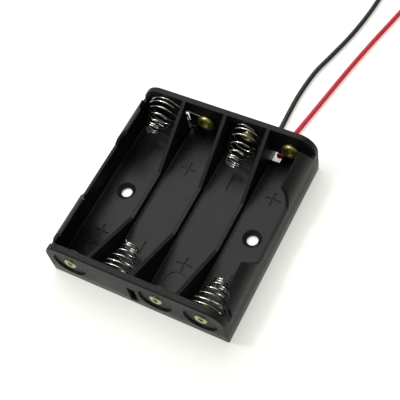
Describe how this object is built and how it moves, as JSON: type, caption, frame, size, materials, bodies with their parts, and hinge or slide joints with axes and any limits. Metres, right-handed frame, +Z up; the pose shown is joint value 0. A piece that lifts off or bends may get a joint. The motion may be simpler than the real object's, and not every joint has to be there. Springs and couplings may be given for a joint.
{
  "type": "cylindrical cell holder",
  "caption": "Open black tray that holds AAA cells side by side in series between conical springs and brass eyelet contacts, with a red and a black flying lead.",
  "frame": {"origin": "middle of the tray's flat underside", "axes": "+X across the cells, towards the last cell; +Y along the cells, towards the wall that the leads leave by; +Z up, out of the open top"},
  "size_m": [0.0659, 0.1287, 0.0123],
  "materials": {
    "tray_plastic": "black moulded plastic with a fine satin grain",
    "spring_steel": "bright nickel-plated spring wire",
    "eyelet_brass": "rolled brass, slightly dull",
    "tinned_wire": "tinned copper conductor",
    "red_insulation": "soft red cable sheath",
    "black_insulation": "soft black cable sheath"
  },
  "bodies": {
    "root": {"tray": "tray_plastic", "spring_link_1": "spring_steel", "spring_link_2": "spring_steel", "spring_3": "spring_steel", "spring_4": "spring_steel", "eyelet_front_1": "eyelet_brass", "eyelet_front_3": "eyelet_brass", "eyelet_front_4": "eyelet_brass", "eyelet_back_2": "eyelet_brass", "eyelet_back_3": "eyelet_brass", "eyelet_back_4": "eyelet_brass", "jumper_wire": "tinned_wire", "red_core_end": "tinned_wire", "black_core_end": "tinned_wire", "red_lead": "red_insulation", "black_lead": "black_insulation", "red_lead_coil": "red_insulation", "black_lead_coil": "black_insulation", "red_tinned_tip": "tinned_wire", "black_tinned_tip": "tinned_wire"}
  },
  "joints": []
}
